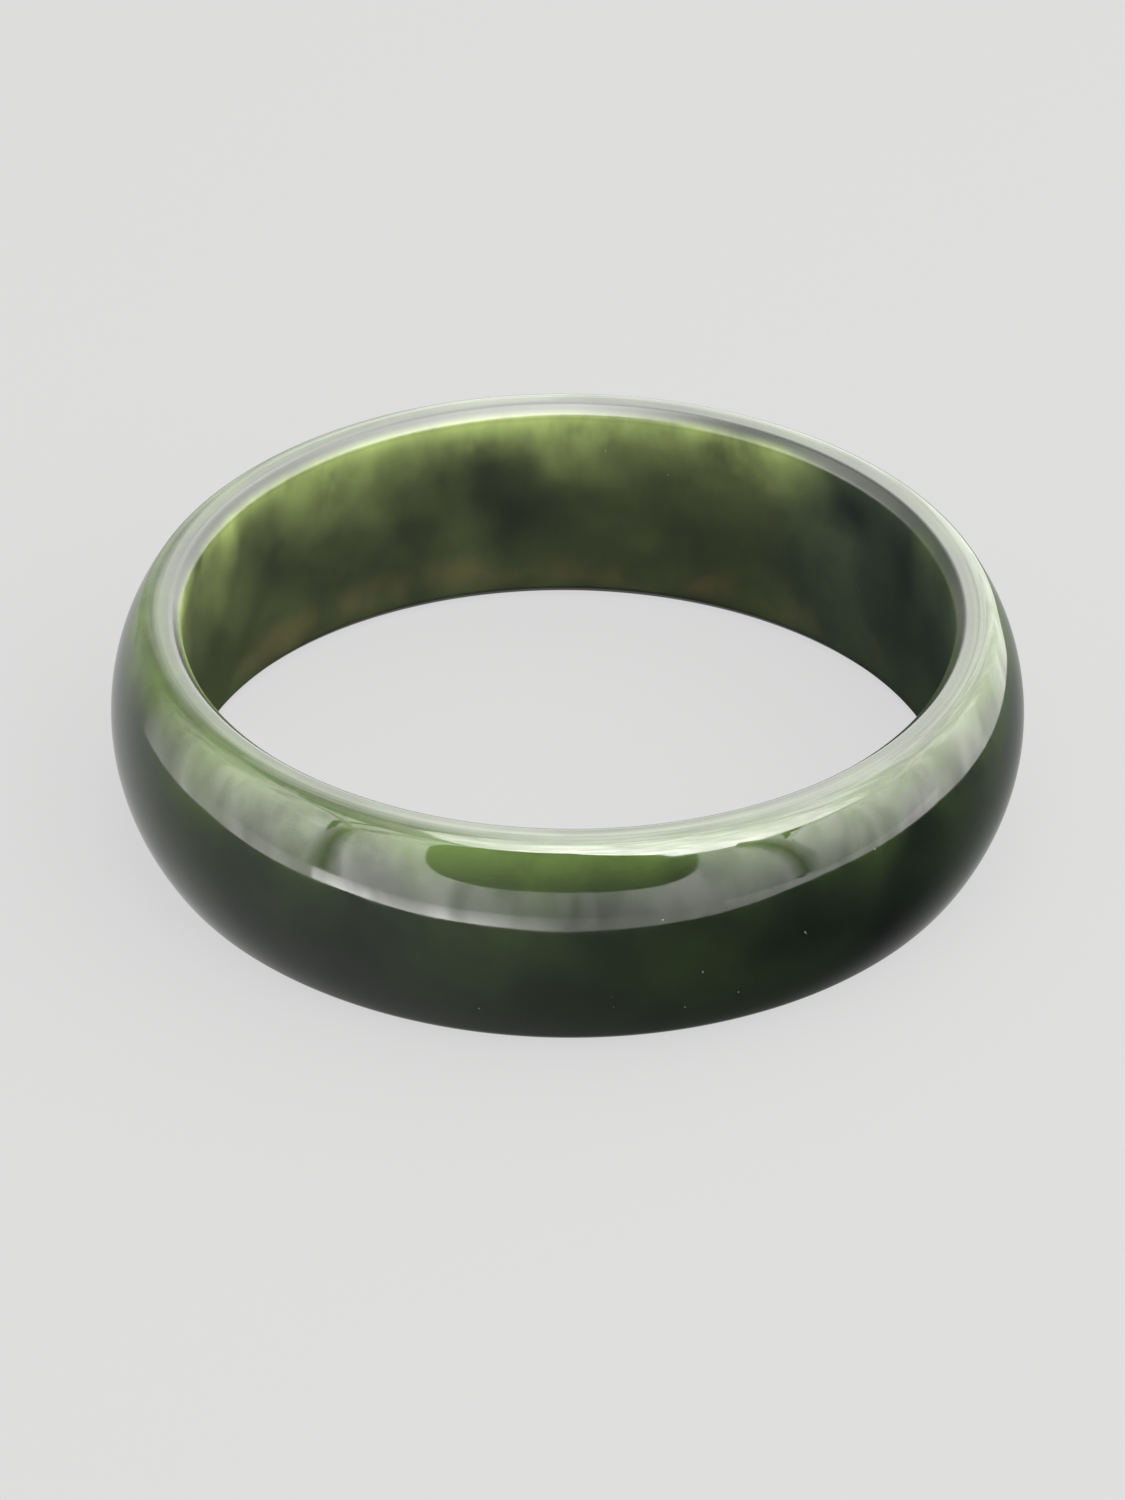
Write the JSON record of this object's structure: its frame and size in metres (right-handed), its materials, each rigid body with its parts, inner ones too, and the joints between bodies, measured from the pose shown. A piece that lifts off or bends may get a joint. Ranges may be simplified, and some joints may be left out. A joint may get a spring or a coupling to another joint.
{
  "type": "bangle bracelet",
  "caption": "Solid closed bangle carved from dark green nephrite jade, with a straight inner wall, bevelled inner edges and a domed, polished outer face.",
  "frame": {"origin": "centre of the rim that the bangle rests on, on the axis of the wrist opening", "axes": "+Z along the axis of the wrist opening, up from the rim it rests on; the section is the same all round, so X and Y are free"},
  "size_m": [0.069, 0.069, 0.0174],
  "materials": {
    "nephrite": "hand-polished dark spinach-green nephrite jade, slightly translucent, clouded with darker and yellower patches and fine dark flecks"
  },
  "bodies": {
    "root": {"bangle_ring": "nephrite"}
  },
  "joints": []
}
